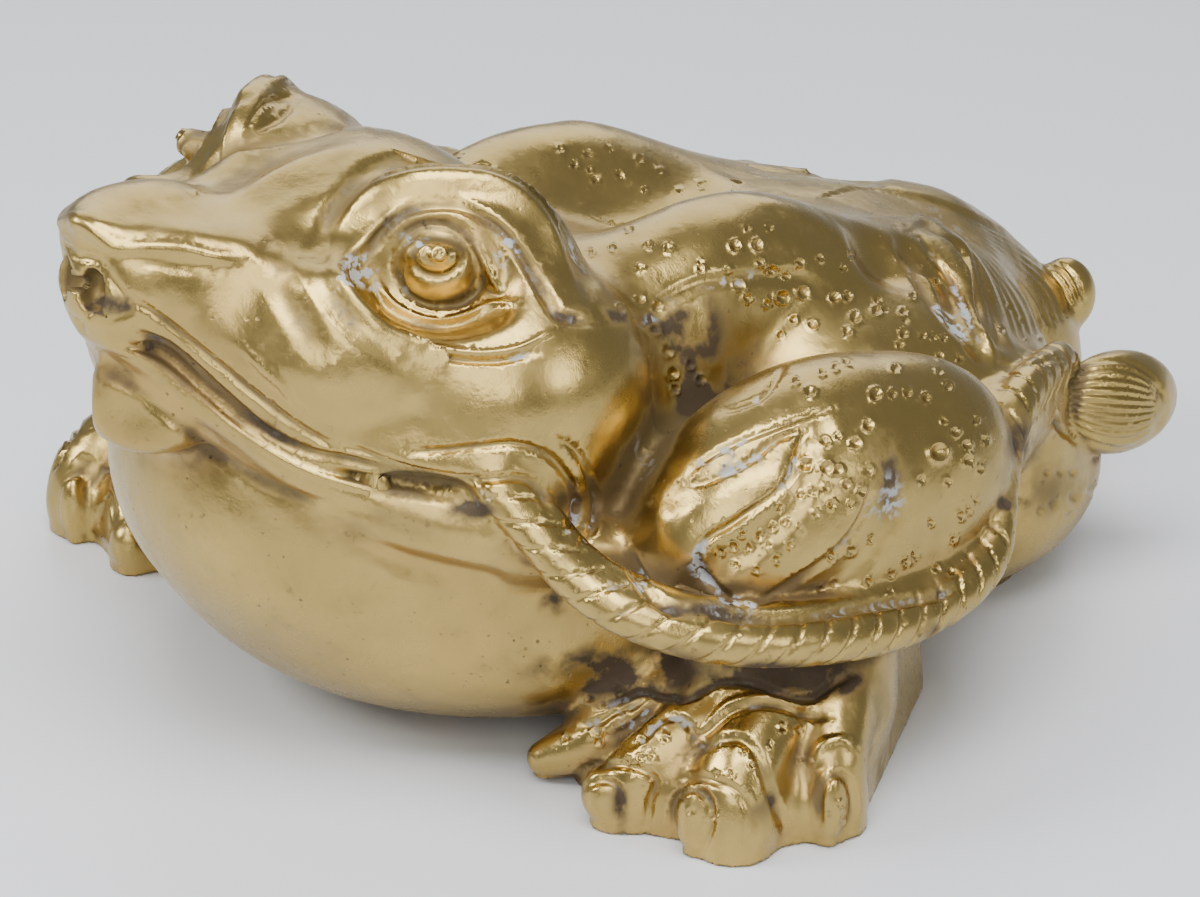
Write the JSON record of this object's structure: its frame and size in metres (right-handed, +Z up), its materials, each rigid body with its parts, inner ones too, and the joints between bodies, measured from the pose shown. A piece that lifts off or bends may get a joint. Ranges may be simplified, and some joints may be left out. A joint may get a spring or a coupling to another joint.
{
  "type": "toad figure",
  "caption": "Crouching toad cast in brass with its head raised, a twisted cord held in the mouth and running back over each arm to a tassel, warts on arms and back.",
  "frame": {"origin": "on the floor under the middle of the casting's bounding box", "axes": "+Z up; the toad faces -Y; its left side is towards +X"},
  "size_m": [0.2859, 0.3252, 0.1518],
  "materials": {
    "brass": "hand-polished cast brass, golden olive, with dark oxide and pale polish left in the recesses"
  },
  "bodies": {
    "root": {"money_toad": "brass"}
  },
  "joints": []
}
